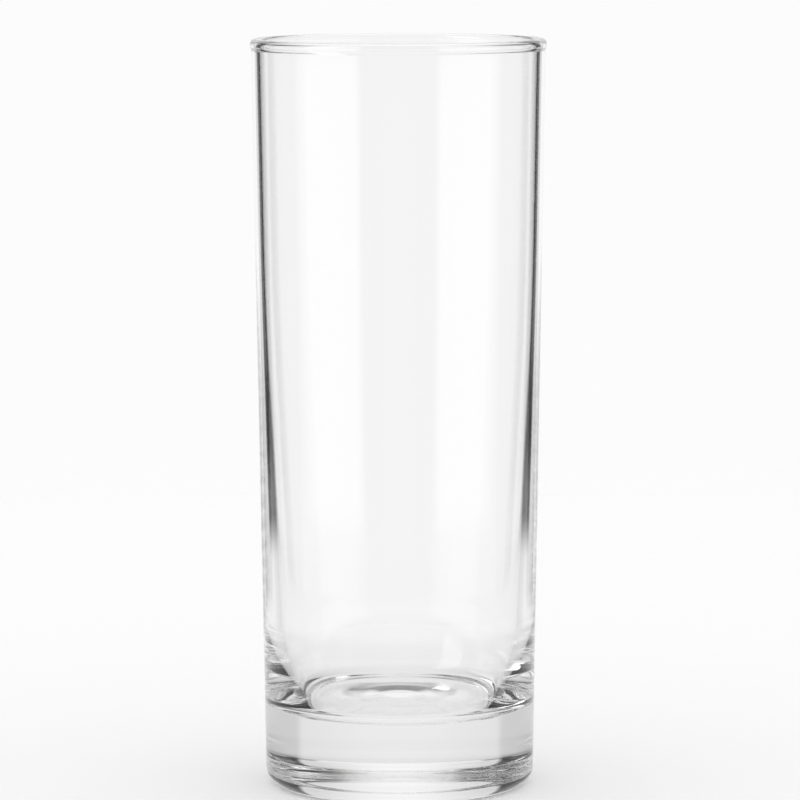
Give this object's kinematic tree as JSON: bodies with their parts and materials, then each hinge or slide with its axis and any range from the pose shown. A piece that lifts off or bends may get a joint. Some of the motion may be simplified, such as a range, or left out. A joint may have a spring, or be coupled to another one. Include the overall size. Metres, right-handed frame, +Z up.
{
  "type": "tumbler",
  "caption": "Tall clear glass tumbler, slightly tapered, with a thick solid base, a wall that thickens towards it and a rolled fire-polished rim; stands upright and holds a drink.",
  "frame": {"origin": "middle of the foot, on the surface that the glass stands on", "axes": "+Z up along the axis of the glass, from the foot to the rim; the glass is round, so X and Y are free"},
  "size_m": [0.065, 0.065, 0.165],
  "materials": {
    "clear_glass": "clear, fire-polished"
  },
  "bodies": {
    "root": {"glass_body": "clear_glass"}
  },
  "joints": []
}
